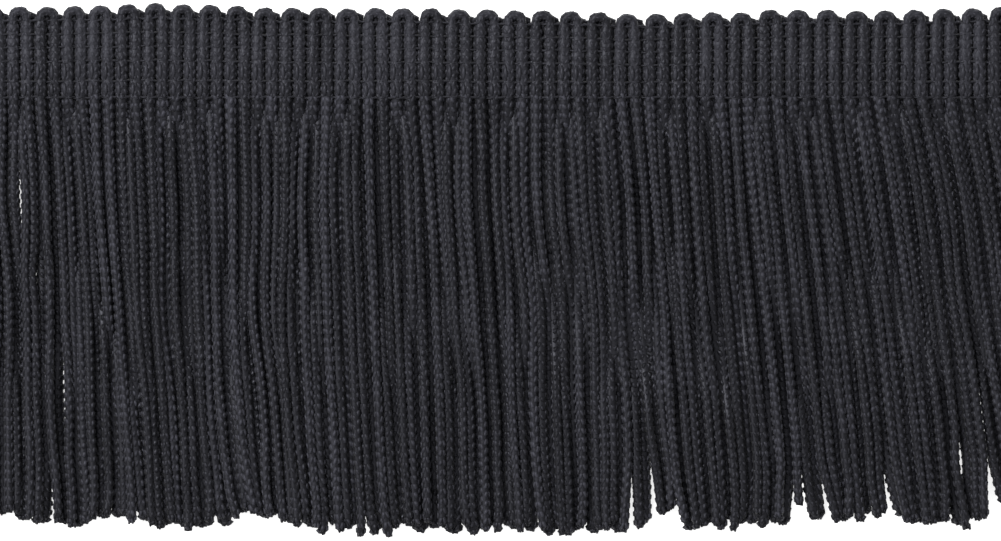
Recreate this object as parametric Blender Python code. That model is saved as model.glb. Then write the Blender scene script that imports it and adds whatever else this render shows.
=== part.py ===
"""Chainette fringe trim, 76 mm deep, laid flat with its fringe towards -Y.

Two chain cords run back and forth across the trim, one in front of the other. Their hairpin
turns make a band with a scalloped top edge, bound by rows of stitches, and below it their legs
are cut to a fringe. Each cord gives a heading and a fringe, so the trim is four solids. Lengths
are in millimetres until the meshes are made, with X along the trim and Z up from the table.
"""
import math
import random
from collections import namedtuple

import bmesh
import bpy

MM = 0.001

# Driving dimensions
LOOPS = 39                # hairpin turns of each cord along the cut length
LOOP_PITCH = 4.13         # from one turn of a cord to its next
LOOP_DRIFT = 1.72         # how far the end turns lie to the right of an even spacing
LEG = LOOP_PITCH / 4      # from the middle of a turn to the middle of its leg
CORD = 1.3                # width and height of a cord pressed into the heading
HEADING_DEPTH = 13.2      # from the top of the front loops to the heading's lower edge
FRINGE_END = -69.3        # mean height of the cut ends, from the middle of the heading
BACK_DROP = 1.2           # how much lower the back cord turns than the front one
BINDING_ROWS = (2.1, 4.1, 6.0, 8.0, 10.8)  # rows of binding stitches, below the front loops' top
FACE_GROOVE = 0.65        # depth of the grooves between legs on the face that shows
UNDER_GROOVE = 0.5        # the same on the underside
HIDDEN_GROOVE = 0.2       # the same where the front cord covers the back one
ROW_PINCH = 0.3           # how far a binding row draws a leg in
GAP = 0.3                 # room between neighbouring pieces
LAYER = 1.2               # thickness of one cord's layer
ROOT_STRIP = 1.5          # depth of the strip that holds a fringe's roots
STRAND_WIDTH = 1.2
STRAND_TOP = 0.8          # width of a strand's upper side
STRAND_STEPS = 3
WALK_STEPS = 18           # short steps in which a strand's lean is followed, a multiple of the above
STRAND_WANDER = 0.1       # most that a strand strays sideways from the common lean
STRAY_SWING = 0.75 * math.pi  # how far through its swing a straying strand is when it ends
END_RAGGED = 0.5          # most that a cut end misses the fringe's lower line

TOP = HEADING_DEPTH / 2
SEED = 7
SHARP_EDGE = math.radians(50)
HEADING_BLACK = (0.028, 0.028, 0.034)
FRINGE_BLACK = (0.02, 0.02, 0.025)
HEADING_ROUGHNESS = 0.5
FRINGE_ROUGHNESS = 0.45

Layer = namedtuple("Layer", "z_low z_high shift drop seed")
BACK = Layer(z_low=0.0, z_high=LAYER, shift=LEG, drop=BACK_DROP, seed=SEED)
FRONT = Layer(z_low=LAYER + GAP, z_high=2 * LAYER + GAP, shift=0.0, drop=0.0, seed=SEED + 1)

# How far the loops' tops stand above or below a straight line, along the trim
Wave = namedtuple("Wave", "along rise")
EDGE_WAVE = (
    Wave(-78.5, 0.30), Wave(-68.7, 0.30), Wave(-56.7, 0.55), Wave(-49.2, 0.85), Wave(-40.8, 0.60),
    Wave(-31.2, 0.15), Wave(-9.9, -0.05), Wave(8.6, -0.45), Wave(25.5, -0.80), Wave(43.2, -0.50),
    Wave(60.9, -0.35), Wave(71.4, 0.15), Wave(82.0, 0.20),
)

# Sideways lean of the fringe, as a slope, near the heading, half way down and near the ends
Lean = namedtuple("Lean", "along upper middle lower")
LEANS = (
    Lean(-78.5, 0.05, 0.01, 0.01), Lean(-67.3, 0.06, 0.01, 0.01), Lean(-57.0, 0.05, 0.07, 0.03),
    Lean(-46.7, 0.02, 0.05, 0.08), Lean(-36.4, 0.00, 0.03, 0.13), Lean(-26.1, -0.02, 0.00, 0.12),
    Lean(-15.8, 0.03, 0.04, 0.07), Lean(-5.4, 0.06, 0.05, 0.03), Lean(4.9, 0.02, 0.05, 0.06),
    Lean(15.2, 0.08, 0.05, 0.02), Lean(25.5, 0.08, 0.07, 0.06), Lean(35.8, 0.05, 0.07, 0.10),
    Lean(46.2, 0.10, 0.10, 0.05), Lean(56.5, 0.15, 0.14, 0.10), Lean(66.8, 0.18, 0.14, 0.13),
    Lean(90.0, 0.18, 0.14, 0.13),
)

# Where the strands part near their ends: start is the share of the way down, width the room made
Parting = namedtuple("Parting", "along start width")
PARTINGS = (
    Parting(-64.1, 0.80, 0.8), Parting(22.0, 0.80, 1.0), Parting(25.7, 0.76, 1.1),
    Parting(46.4, 0.80, 1.0), Parting(50.0, 0.80, 1.0), Parting(59.4, 0.78, 0.9),
    Parting(69.7, 0.70, 0.7), Parting(74.9, 0.75, 1.2),
)
PARTING_REACH = 4.0       # how far to each side a parting pushes the strands

# Where the scissors cut above or below the fringe's mean lower line, along the trim
Cut = namedtuple("Cut", "along rise")
CUTS = (
    Cut(-80.0, 1.0), Cut(-71.8, 1.3), Cut(-62.9, 0.1), Cut(-55.3, 1.2), Cut(-42.3, -0.7),
    Cut(-35.2, 0.7), Cut(-24.6, -1.0), Cut(-12.8, -1.6), Cut(-1.0, -1.0), Cut(10.8, -1.2),
    Cut(22.5, -0.6), Cut(26.5, 2.4), Cut(30.0, 0.4), Cut(38.0, -0.2), Cut(44.8, -0.2),
    Cut(46.4, 2.9), Cut(48.5, 0.2), Cut(50.9, -0.5), Cut(56.8, 1.3), Cut(62.4, 0.5),
    Cut(73.0, 0.2), Cut(75.6, 3.2), Cut(90.0, 2.0),
)

# Angles at which a turn's outline and crest have a point, from its left leg to its right leg
TURN_ANGLES = (135.0, 90.0, 45.0)


def read_table(table, column, along):
    """Value of a table's column at a place along the trim, eased between the table's rows."""
    if along <= table[0].along:
        return getattr(table[0], column)
    for low, high in zip(table, table[1:]):
        if along <= high.along:
            share = (along - low.along) / (high.along - low.along)
            ease = share * share * (3 - 2 * share)
            return getattr(low, column) * (1 - ease) + getattr(high, column) * ease
    return getattr(table[-1], column)


def loop_centre(index, shift):
    """Middle of a hairpin turn along the trim."""
    middle = (LOOPS - 1) / 2
    off_middle = (index - middle) / middle
    return (index - middle) * LOOP_PITCH + shift + LOOP_DRIFT * off_middle ** 2


def lean_at(along, share):
    """Slope of the fringe at a place, share being 0 at the heading and 1 at the cut ends."""
    upper = read_table(LEANS, "upper", along)
    middle = read_table(LEANS, "middle", along)
    lower = read_table(LEANS, "lower", along)
    if share < 0.5:
        return upper + (middle - upper) * share / 0.5
    return middle + (lower - middle) * (share - 0.5) / 0.5


def parting_push(foot, share):
    """Sideways push of the partings on a strand, from where its foot would lie without them."""
    push = 0.0
    for parting in PARTINGS:
        grown = max(0.0, (share - parting.start) / (1 - parting.start))
        away = foot - parting.along
        fade = math.exp(-abs(away) / PARTING_REACH)
        push += math.copysign(parting.width / 2, away) * fade * grown
    return push


def strand_path(root, wander, root_y, ragged):
    """Points of a strand's middle line from its root to its cut end, as (x, y) pairs."""
    fall = root_y - FRINGE_END
    leaning = [root]
    for step in range(1, WALK_STEPS + 1):
        leaning.append(leaning[-1] + lean_at(leaning[-1], step / WALK_STEPS) * fall / WALK_STEPS)
    foot = leaning[-1]
    end_y = FRINGE_END + read_table(CUTS, "rise", foot) + ragged
    points = []
    for step in range(WALK_STEPS // STRAND_STEPS, WALK_STEPS + 1, WALK_STEPS // STRAND_STEPS):
        share = step / WALK_STEPS
        stray = wander * math.sin(share * STRAY_SWING)
        x = leaning[step] + stray + parting_push(foot, share)
        points.append((x, root_y + (end_y - root_y) * share))
    return points


def finish_object(name, shape, colour, roughness):
    """Make a named object with its material from a bmesh, and free the bmesh."""
    bmesh.ops.recalc_face_normals(shape, faces=shape.faces)
    mesh = bpy.data.meshes.new(name)
    shape.to_mesh(mesh)
    shape.free()
    mesh.shade_smooth()
    mesh.set_sharp_from_angle(angle=SHARP_EDGE)
    material = bpy.data.materials.new(name)
    material.use_nodes = True
    shader = material.node_tree.nodes["Principled BSDF"]
    shader.inputs["Base Color"].default_value = (*colour, 1.0)
    shader.inputs["Roughness"].default_value = roughness
    shader.inputs["Metallic"].default_value = 0.0
    mesh.materials.append(material)
    piece = bpy.data.objects.new(name, mesh)
    bpy.context.scene.collection.objects.link(piece)


def bridge(shape, line_a, line_b):
    """Fill the strip between two lines of points with quads, or triangles where they meet."""
    for a0, a1, b0, b1 in zip(line_a, line_a[1:], line_b, line_b[1:]):
        corners = list(dict.fromkeys((a0, a1, b1, b0)))
        if len(corners) > 2:
            shape.faces.new(corners)


def heading_side(shape, layer, crest_flat, rows, crest_z, groove_z, pinch):
    """One face of a heading: its legs row by row, then the turns above them.

    Returns the outline of the face: its lower edge, its two ends and the scalloped top.
    """
    top = TOP - layer.drop
    spring = top - LEG - CORD / 2
    flats = (-crest_flat, crest_flat) if crest_flat else (0.0,)
    centres = [loop_centre(index, layer.shift) for index in range(LOOPS)]
    columns = []
    for index, centre in enumerate(centres):
        before = centres[index - 1] if index else centre - LOOP_PITCH
        columns.append(((before + centre) / 2, False))
        columns += [(centre - LEG + flat, True) for flat in flats]
        columns.append((centre, False))
        columns += [(centre + LEG + flat, True) for flat in flats]
    columns.append((centres[-1] + LOOP_PITCH / 2, False))

    def point(x, y, z):
        share = (y + TOP) / HEADING_DEPTH
        lift = read_table(EDGE_WAVE, "rise", x) * share
        return shape.verts.new((x * MM, (y + lift) * MM, z * MM))

    lines = []
    for y, pinched in [(-TOP, True)] + rows + [(spring, False)]:
        crest = crest_z - pinch if pinched else crest_z
        lines.append([point(x, y, crest if on_leg else groove_z) for x, on_leg in columns])
    for line_a, line_b in zip(lines, lines[1:]):
        bridge(shape, line_a, line_b)

    scallops = [lines[-1][0]]
    per_loop = 2 + 2 * len(flats)
    for index, centre in enumerate(centres):
        base = lines[-1][index * per_loop:(index + 1) * per_loop + 1]
        rings = []
        for ring, radius in enumerate([LEG + CORD / 2] + [LEG - flat for flat in flats]):
            z = crest_z if ring else groove_z
            turn = [point(centre + radius * math.cos(math.radians(angle)),
                          spring + radius * math.sin(math.radians(angle)), z)
                    for angle in TURN_ANGLES]
            rings.append([base[ring]] + turn + [base[-1 - ring]])
        rings.append([base[len(rings)]] * len(rings[0]))
        for ring_a, ring_b in zip(rings, rings[1:]):
            bridge(shape, ring_a, ring_b)
        scallops += rings[0][1:]
    left = [line[0] for line in lines]
    right = [line[-1] for line in lines]
    return lines[0], left, right, scallops


def make_heading(name, layer, crest_flat, binding_rows, groove_above, groove_below):
    """A cord's hairpin turns as one ribbed band with a scalloped top edge."""
    shape = bmesh.new()
    upper_rows = []
    top = TOP - layer.drop
    spring = top - LEG - CORD / 2
    places = [TOP - row for row in reversed(binding_rows)]
    for place, above in zip(places, places[1:] + [spring]):
        upper_rows.append((place, True))
        if above - place > CORD:
            upper_rows.append(((place + above) / 2, False))
    if upper_rows:
        upper_rows.insert(0, ((places[0] - TOP) / 2, False))
    upper = heading_side(shape, layer, crest_flat, upper_rows, layer.z_high,
                         layer.z_high - groove_above, ROW_PINCH if binding_rows else 0.0)
    lower = heading_side(shape, layer, crest_flat, [], layer.z_low,
                         layer.z_low + groove_below, 0.0)
    bridge(shape, upper[0], lower[0])
    bridge(shape, upper[3], lower[3])
    for end in (1, 2):
        shape.faces.new(upper[end] + list(reversed(lower[end])))
    finish_object(name, shape, HEADING_BLACK, HEADING_ROUGHNESS)


def make_fringe(name, layer):
    """A cord's legs below the heading, cut to a ragged line, with their roots in a narrow strip."""
    draw = random.Random(layer.seed)
    shape = bmesh.new()
    back_y = -TOP - GAP
    root_y = back_y - ROOT_STRIP

    def section(x, y):
        """Four corners of a strand: lower left, lower right, upper right, upper left."""
        corners = ((-STRAND_WIDTH / 2, layer.z_low), (STRAND_WIDTH / 2, layer.z_low),
                   (STRAND_TOP / 2, layer.z_high), (-STRAND_TOP / 2, layer.z_high))
        return [shape.verts.new(((x + dx) * MM, y * MM, z * MM)) for dx, z in corners]

    def edge_pair(x, y):
        """A lower and an upper point of the strip at one place."""
        return [shape.verts.new((x * MM, y * MM, z * MM)) for z in (layer.z_low, layer.z_high)]

    legs = [loop_centre(index, layer.shift) + side * LEG
            for index in range(LOOPS) for side in (-1, 1)]
    roots = [section(x, root_y) for x in legs]
    backs = [edge_pair(x, back_y) for x in legs]
    first = edge_pair(legs[0] - STRAND_WIDTH, root_y), edge_pair(legs[0] - STRAND_WIDTH, back_y)
    last = edge_pair(legs[-1] + STRAND_WIDTH, root_y), edge_pair(legs[-1] + STRAND_WIDTH, back_y)

    left_front, left_back = first
    for root, back in zip(roots, backs):
        shape.faces.new((left_front[0], root[0], back[0], left_back[0]))
        shape.faces.new((left_front[1], root[3], back[1], left_back[1]))
        shape.faces.new((left_front[0], root[0], root[3], left_front[1]))
        shape.faces.new((left_back[0], back[0], back[1], left_back[1]))
        shape.faces.new((root[0], root[1], back[0]))
        shape.faces.new((root[3], root[2], back[1]))
        left_front, left_back = (root[1], root[2]), back
    right_front, right_back = last
    shape.faces.new((left_front[0], right_front[0], right_back[0], left_back[0]))
    shape.faces.new((left_front[1], right_front[1], right_back[1], left_back[1]))
    shape.faces.new((left_front[0], right_front[0], right_front[1], left_front[1]))
    shape.faces.new((left_back[0], right_back[0], right_back[1], left_back[1]))
    for front, back in (first, last):
        shape.faces.new((front[0], front[1], back[1], back[0]))

    for x, root in zip(legs, roots):
        wander = draw.uniform(-STRAND_WANDER, STRAND_WANDER)
        ragged = draw.uniform(-END_RAGGED, END_RAGGED)
        ring = root
        for place in strand_path(x, wander, root_y, ragged):
            reached = section(*place)
            bridge(shape, ring + ring[:1], reached + reached[:1])
            ring = reached
        shape.faces.new(ring)
    finish_object(name, shape, FRINGE_BLACK, FRINGE_ROUGHNESS)


def main():
    for stray in list(bpy.data.objects):
        bpy.data.objects.remove(stray, do_unlink=True)
    make_heading("heading_back_loops", BACK, CORD / 4, (), HIDDEN_GROOVE, UNDER_GROOVE)
    make_heading("heading_front_loops", FRONT, 0.0, BINDING_ROWS, FACE_GROOVE, 0.0)
    make_fringe("fringe_back", BACK)
    make_fringe("fringe_front", FRONT)


main()
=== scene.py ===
"""Looks of the chainette fringe trim: its knitted cords, binding stitches, finishes and studio.

Two chain cords lie one on the other. Each is knitted stitch by stitch along its path: up and down
through the hairpin turns of the heading, then down the fringe to its cut end. Sizes are in
millimetres in the frame's own axes, and become metres when a mesh is made.
"""
import logging
import math
import random
from dataclasses import dataclass, field
from enum import Enum
from typing import NamedTuple, Sequence

import bpy
import numpy as np
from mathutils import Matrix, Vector


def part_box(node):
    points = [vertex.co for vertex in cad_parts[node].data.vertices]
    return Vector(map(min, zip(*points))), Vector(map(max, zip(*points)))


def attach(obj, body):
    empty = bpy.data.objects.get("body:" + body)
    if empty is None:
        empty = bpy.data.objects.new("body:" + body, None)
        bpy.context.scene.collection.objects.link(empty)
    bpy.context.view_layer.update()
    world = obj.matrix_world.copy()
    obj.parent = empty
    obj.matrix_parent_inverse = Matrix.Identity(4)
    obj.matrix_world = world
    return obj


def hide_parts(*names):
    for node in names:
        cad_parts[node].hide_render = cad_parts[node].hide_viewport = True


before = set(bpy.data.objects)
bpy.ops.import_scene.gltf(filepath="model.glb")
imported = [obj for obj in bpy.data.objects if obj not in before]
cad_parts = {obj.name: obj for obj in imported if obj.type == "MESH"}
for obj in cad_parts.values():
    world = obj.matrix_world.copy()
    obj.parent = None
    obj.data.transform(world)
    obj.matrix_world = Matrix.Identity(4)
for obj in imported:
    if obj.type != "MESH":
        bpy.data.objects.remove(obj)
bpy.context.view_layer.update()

LAYER_BOXES = {name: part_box(name) for name in ("fringe_front", "fringe_back")}
MM = 0.001
PHOTO_WIDTH_PX = 1001
PHOTO_HEIGHT_PX = 541
BODY = "root"

log = logging.getLogger("fringe_trim")

Socket = bpy.types.NodeSocket
Piece = bpy.types.Object
Finish = bpy.types.Material
Triple = tuple[float, float, float]


class Row(Enum):
    """The two cords of the trim, one on the other."""

    FRONT = "front"
    BACK = "back"


class Rise(NamedTuple):
    """How far an edge stands above a straight line, at a place along the trim."""

    along: float
    rise: float


class Lean(NamedTuple):
    """Slope of the fringe near the heading, half way down and near the ends."""

    along: float
    upper: float
    middle: float
    lower: float


class Parting(NamedTuple):
    """Where strands part near their ends: the share of the way down it starts, and its width."""

    along: float
    start: float
    width: float


class Slit(NamedTuple):
    """Where strands stand apart part of the way down: shares of the way, and the push to each side."""

    along: float
    top: float
    bottom: float
    width: float


class Place(NamedTuple):
    """How a strand lies in its group: its depth, 0 in front and 1 at the back, and its shift."""

    depth: float
    shift: float


class Group(NamedTuple):
    """Strands side by side that lie one on the other, and how often they are met."""

    often: float
    places: tuple[Place, ...]


class LegPoint(NamedTuple):
    """A point of a yarn leg, as shares: across its wale, of its sunk depth, and of the pitch."""

    across: float
    sunk: float
    rise: float


class Seeds(NamedTuple):
    """Starts of a row's random values, for its heading, its strands and their cut ends."""

    heading: int
    fringe: int
    ends: int


def table(kind: type, *rows: tuple) -> tuple:
    """Rows of a table, whose columns a kind of row names."""
    return tuple(kind(*row) for row in rows)


# The tops of the heading's loops
EDGE_WAVE = table(
    Rise, (-78.5, 0.30), (-68.7, 0.30), (-56.7, 0.55), (-49.2, 0.85), (-40.8, 0.60), (-31.2, 0.20),
    (-9.9, 0.05), (8.6, -0.35), (25.5, -0.80), (37.0, -0.50), (43.2, -0.05), (52.0, -0.25), (60.9, -0.25),
    (71.4, 0.20), (82.0, 0.25),
)
LEANS = table(
    Lean, (-78.5, 0.05, 0.01, 0.01), (-67.3, 0.06, 0.01, 0.01), (-57.0, 0.05, 0.07, 0.03),
    (-46.7, 0.02, 0.05, 0.08), (-36.4, 0.00, 0.03, 0.13), (-26.1, -0.02, 0.00, 0.12),
    (-15.8, 0.03, 0.04, 0.07), (-5.4, 0.06, 0.05, 0.03), (4.9, 0.02, 0.05, 0.06),
    (15.2, 0.08, 0.05, 0.02), (25.5, 0.08, 0.07, 0.06), (35.8, 0.05, 0.07, 0.10),
    (46.2, 0.10, 0.10, 0.05), (56.5, 0.15, 0.14, 0.10), (66.8, 0.18, 0.14, 0.13),
    (90.0, 0.18, 0.14, 0.13),
)
PARTINGS = table(
    Parting, (-64.1, 0.82, 0.9), (-55.4, 0.94, 0.7), (-52.2, 0.95, 0.6), (-39.8, 0.95, 0.5),
    (-37.6, 0.93, 0.6), (-23.1, 0.95, 0.6), (-17.2, 0.94, 0.8), (-4.0, 0.94, 0.7), (2.5, 0.94, 0.7),
    (7.1, 0.93, 0.8), (14.8, 0.94, 0.8), (22.0, 0.83, 1.1), (24.7, 0.79, 1.3), (27.3, 0.91, 0.9),
    (38.5, 0.94, 0.7), (42.5, 0.92, 0.9), (45.4, 0.87, 1.3), (47.5, 0.86, 1.3), (50.0, 0.85, 1.7),
    (54.3, 0.92, 0.8), (56.3, 0.91, 0.9), (59.3, 0.82, 1.7), (69.0, 0.91, 0.9), (74.2, 0.86, 1.3),
)
SLITS = table(
    Slit, (-69.0, 0.14, 0.34, 0.38), (-66.5, 0.35, 0.49, 0.48), (-62.4, 0.54, 0.83, 0.52),
    (69.9, 0.78, 0.93, 0.60),
)
# The cut ends, from the fringe's mean lower line
CUTS = table(
    Rise, (-80.0, 0.9), (-71.8, 1.2), (-62.9, -0.3), (-55.3, 0.6), (-46.0, 0.2), (-42.3, -0.4),
    (-35.2, 1.2), (-30.0, 0.6), (-24.6, -0.9), (-17.0, -1.4), (-9.1, -0.6), (-1.0, -1.2), (10.8, -1.3),
    (20.0, -1.2), (24.3, -0.6), (25.6, 2.2), (27.2, 1.8), (28.5, -0.3), (38.0, -0.2), (44.8, 0.1),
    (46.4, 3.2), (48.5, 1.0), (50.9, 0.4), (56.8, 0.9), (62.4, 0.2), (73.0, 0.2), (75.6, 3.2),
    (90.0, 2.0),
)
GROUPS = (
    Group(0.55, (Place(0.0, 0.0), Place(0.4, 0.06), Place(1.0, 0.0))),
    Group(0.20, (Place(0.0, 0.0), Place(1.0, 0.0))),
    Group(0.25, (Place(0.0, 0.0), Place(1.0, 0.0), Place(0.4, -0.06))),
)
YARN_LEG = (
    LegPoint(0.03, 1.0, -0.24), LegPoint(0.18, 0.0, 0.17),
    LegPoint(0.32, 0.0, 0.55), LegPoint(0.47, 1.0, 0.98),
)
SEEDS = {Row.FRONT: Seeds(31, 53, 5), Row.BACK: Seeds(32, 54, 4)}


def add_object(name: str, data: bpy.types.ID) -> Piece:
    """Add an object with this data to the scene.

    Args:
        name: Name of the object.
        data: Its mesh, curve or light.

    Returns:
        The object.
    """
    made = bpy.data.objects.new(name, data)
    bpy.context.scene.collection.objects.link(made)
    return made


def ease(share: float | np.ndarray) -> float | np.ndarray:
    """Ease a share from 0 to 1, held at both ends."""
    held = np.clip(share, 0, 1)
    return held * held * (3 - 2 * held)


def eased_line(values: np.ndarray, places: np.ndarray) -> np.ndarray:
    """Values between those of a line, at places counted in its steps.

    Args:
        values: The line's values, evenly spaced.
        places: Where to read it, in steps from its start.

    Returns:
        A value for each place.
    """
    before = np.minimum(places.astype(int), len(values) - 2)
    share = ease(places - before)
    return values[before] * (1 - share) + values[before + 1] * share


def read_table(rows: Sequence[NamedTuple], column: str, along: float) -> float:
    """Value of a table's column, eased between its rows.

    Args:
        rows: Rows of the table, in the order of their places along the trim.
        column: Name of the column to read.
        along: Place along the trim.

    Returns:
        The column's value at that place.
    """
    if along <= rows[0].along:
        return getattr(rows[0], column)
    for low, high in zip(rows, rows[1:]):
        if along <= high.along:
            share = ease((along - low.along) / (high.along - low.along))
            return getattr(low, column) * (1 - share) + getattr(high, column) * share
    return getattr(rows[-1], column)


class Noise(NamedTuple):
    """A slow random line that starts at zero: how many values it passes through, and their range."""

    knots: int
    low: float
    high: float

    def line(self, draw: random.Random, length: int) -> np.ndarray:
        """Draw the line, as a number of samples."""
        values = [0.0] + [draw.uniform(self.low, self.high) for _ in range(self.knots)]
        return eased_line(np.array(values), np.linspace(0, self.knots, length))


@dataclass(frozen=True)
class TrimSizes:
    """Sizes that the cords share, from the same driving dimensions as the solids."""

    loops: int = 39
    loop_pitch: float = 4.13
    loop_drift: float = 1.72
    heading_depth: float = 13.2
    fringe_end: float = -69.3
    back_drop: float = 1.2
    cord: float = 1.46
    stitch: float = 1.38
    binding_rows: tuple[float, ...] = (2.1, 4.1, 6.0, 8.0, 10.8, 13.1)
    parting_reach: float = 4.0

    @property
    def leg(self) -> float:
        """From the middle of a turn to the middle of its leg."""
        return self.loop_pitch / 4

    @property
    def top(self) -> float:
        """Height of the front loops' tops above the middle of the heading."""
        return self.heading_depth / 2

    def shift(self, row: Row) -> float:
        """How far a cord's turns lie to the right of the front cord's."""
        return self.leg if row is Row.BACK else 0.0

    def spring(self, row: Row) -> float:
        """Height at which a cord's legs start to turn."""
        drop = self.back_drop if row is Row.BACK else 0.0
        return self.top - drop - self.leg - self.cord / 2

    def loop_centre(self, index: int, row: Row) -> float:
        """Middle of a hairpin turn along the trim.

        Args:
            index: Number of the turn, from the left.
            row: Layer of the turn.

        Returns:
            Place along the trim, in millimetres.
        """
        middle = (self.loops - 1) / 2
        off_middle = (index - middle) / middle
        return (index - middle) * self.loop_pitch + self.shift(row) + self.loop_drift * off_middle ** 2

    def leg_places(self, row: Row) -> list[float]:
        """Places of a cord's legs along the trim, from left to right."""
        return [self.loop_centre(index, row) + side * self.leg
                for index in range(self.loops) for side in (-1, 1)]

    def edge_lift(self, along: float, y: float) -> float:
        """How far the waviness of the trim's upper edge lifts a point of the heading."""
        return read_table(EDGE_WAVE, "rise", along) * (y + self.top) / self.heading_depth

    def layer_middle(self, row: Row) -> float:
        """Height of a cord's middle line above the table, from its solid in the frame."""
        low, high = LAYER_BOXES[f"fringe_{row.value}"]
        return (low[2] + high[2]) / 2 / MM


@dataclass
class Path:
    """Middle line of one cord, with its shape at each point: width, depth and turn.

    Its tone says how pale the yarn is drawn, painted light and shade included, and its pace
    how long a stitch is beside the usual one.
    """

    points: np.ndarray
    shape: np.ndarray
    tone: float | np.ndarray
    pace: float = 1.0

    @classmethod
    def of(cls, *columns: float | np.ndarray, tone: float | np.ndarray, pace: float = 1.0) -> "Path":
        """Make a path from its x, y, z, width, depth and turn, each an array or one number."""
        full = np.broadcast_arrays(*columns)
        return cls(np.stack(full[:3], axis=1), np.stack(full[3:], axis=1), tone, pace)


@dataclass
class Lie:
    """How one strand lies: its place along the trim and its depth, at each share of the way down."""

    line: np.ndarray
    depth: np.ndarray


@dataclass
class Drift:
    """Slow sideways drift that neighbouring strands share."""

    reach: float = 0.6
    columns: int = 44
    knots: int = 4
    half_length: float = 95.0
    seed: int = 77

    def __post_init__(self) -> None:
        """Draw the drift at each column's knots."""
        draw = random.Random(self.seed)
        self.lines = np.array([[0.0] + [draw.uniform(-self.reach, self.reach) for _ in range(self.knots)]
                               for _ in range(self.columns + 1)])

    def at(self, along: float, shares: np.ndarray) -> np.ndarray:
        """Drift of a strand that starts at a place along the trim, at shares of the way down.

        Args:
            along: Where the strand starts.
            shares: Places down it, from 0 to 1.

        Returns:
            A sideways shift for each share, in millimetres.
        """
        place = (along + self.half_length) / (2 * self.half_length) * self.columns
        column = min(max(int(place), 0), self.columns - 1)
        mix = place - column
        return eased_line(self.lines[column] * (1 - mix) + self.lines[column + 1] * mix, shares * self.knots)


@dataclass
class HeadingCord:
    """One cord's hairpin turns, bound side by side into the heading."""

    sizes: TrimSizes
    row: Row
    step: float = 0.23
    bend_points: int = 15
    pinch: float = 0.19
    pinch_reach: float = 0.4
    swell: float = 1.1
    spread: float = 1.42
    flatness: float = 0.86
    spread_fade: float = 1.2
    back_width: float = 1.36
    back_depth: float = 0.85
    back_raise: float = 0.55
    back_lift: float = 0.35
    foot_below: float = 0.5
    foot_girth: float = 0.5
    foot_fade: float = 0.9
    roundness: float = 0.82
    stretch: float = 0.12
    stray: float = 0.06
    sway: Noise = Noise(9, -0.06, 0.06)
    twist: Noise = Noise(6, -0.5, 0.5)
    paces: tuple[float, float] = (0.93, 1.07)

    def girth_at(self, y: float) -> float:
        """Girth of a leg at a height, drawn in where a binding row crosses it.

        Args:
            y: Height in the frame, in millimetres.

        Returns:
            Share of the cord's own girth.
        """
        drawn = sum(math.exp(-((y - self.sizes.top + depth) / self.pinch_reach) ** 2)
                    for depth in self.sizes.binding_rows)
        return self.swell - self.pinch * min(1.0, drawn)

    def paths(self) -> list[Path]:
        """Middle lines of the turns, each from its left leg's foot to its right leg's foot.

        Returns:
            A path for each turn, from left to right.
        """
        sizes, behind = self.sizes, self.row is Row.BACK
        draw = random.Random(SEEDS[self.row].heading)
        foot = -sizes.top - self.foot_below
        spring = sizes.spring(self.row) + (self.back_lift if behind else 0.0)
        z = sizes.layer_middle(self.row) + (self.back_raise if behind else 0.0)
        up = np.arange(foot, spring, self.step)
        bend = np.linspace(math.pi, 0, self.bend_points)
        across = np.sign(np.cos(bend)) * np.abs(np.cos(bend)) ** self.roundness
        sides = np.concatenate([np.full(len(up), -1.0), across, np.full(len(up), 1.0)])
        rise = np.clip(np.sin(bend), 0, 1) ** self.roundness
        found = []
        for index in range(sizes.loops):
            centre = sizes.loop_centre(index, self.row)
            height = sizes.leg + draw.uniform(-self.stretch, self.stretch)
            y = np.concatenate([up, spring + height * rise, up[::-1]])
            lift = np.array([sizes.edge_lift(centre, value) for value in y])
            x = centre + sizes.leg * sides + draw.uniform(-self.stray, self.stray)
            x = x + self.sway.line(draw, len(y))
            if behind:
                width, depth = self.back_width, self.back_depth
            else:
                girth = np.array([self.girth_at(value) for value in y])
                low = np.clip((spring - y) / self.spread_fade, 0, 1)
                width, depth = girth * (1 + (self.spread - 1) * low), girth * (1 - (1 - self.flatness) * low)
            tuck = np.clip(self.foot_girth + (1 - self.foot_girth) * (y - foot) / self.foot_fade,
                           self.foot_girth, 1)
            turn = draw.uniform(0, math.tau) + self.twist.line(draw, len(y))
            found.append(Path.of(x, y + lift, z, width * tuck, depth * tuck, turn,
                                 tone=draw.random(), pace=draw.uniform(*self.paces)))
        return found


@dataclass
class BindingRow:
    """A binding chain that runs along the heading, over each front leg and down between them."""

    sizes: TrimSizes
    depth: float
    step: float = 0.2
    overhang: float = 0.6
    seeds_per_mm: int = 10
    sink: float = 0.32
    dip: float = 0.5
    sway: Noise = Noise(80, -0.12, 0.12)

    def path(self) -> Path:
        """Middle line of the chain, from the left end of the heading to its right end.

        Returns:
            The path, with the chain's own turn and tone.
        """
        sizes = self.sizes
        draw = random.Random(int(self.depth * self.seeds_per_mm))
        legs = np.array(sizes.leg_places(Row.FRONT))
        past = sizes.leg * self.overhang
        x = np.arange(legs[0] - past, legs[-1] + past, self.step)
        away = np.abs(x[:, None] - legs[None, :]).min(axis=1) / sizes.leg
        cord = HeadingCord(sizes, Row.FRONT)
        crest = sizes.layer_middle(Row.FRONT) + sizes.cord / 2 * (cord.swell - cord.pinch) - self.sink
        height = sizes.top - self.depth
        y = height + np.array([sizes.edge_lift(value, height) for value in x])
        y = y + self.sway.line(draw, len(x))
        return Path.of(x, y, crest - self.dip * away ** 2, 1.0, 1.0, draw.random(), tone=draw.random())


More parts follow.
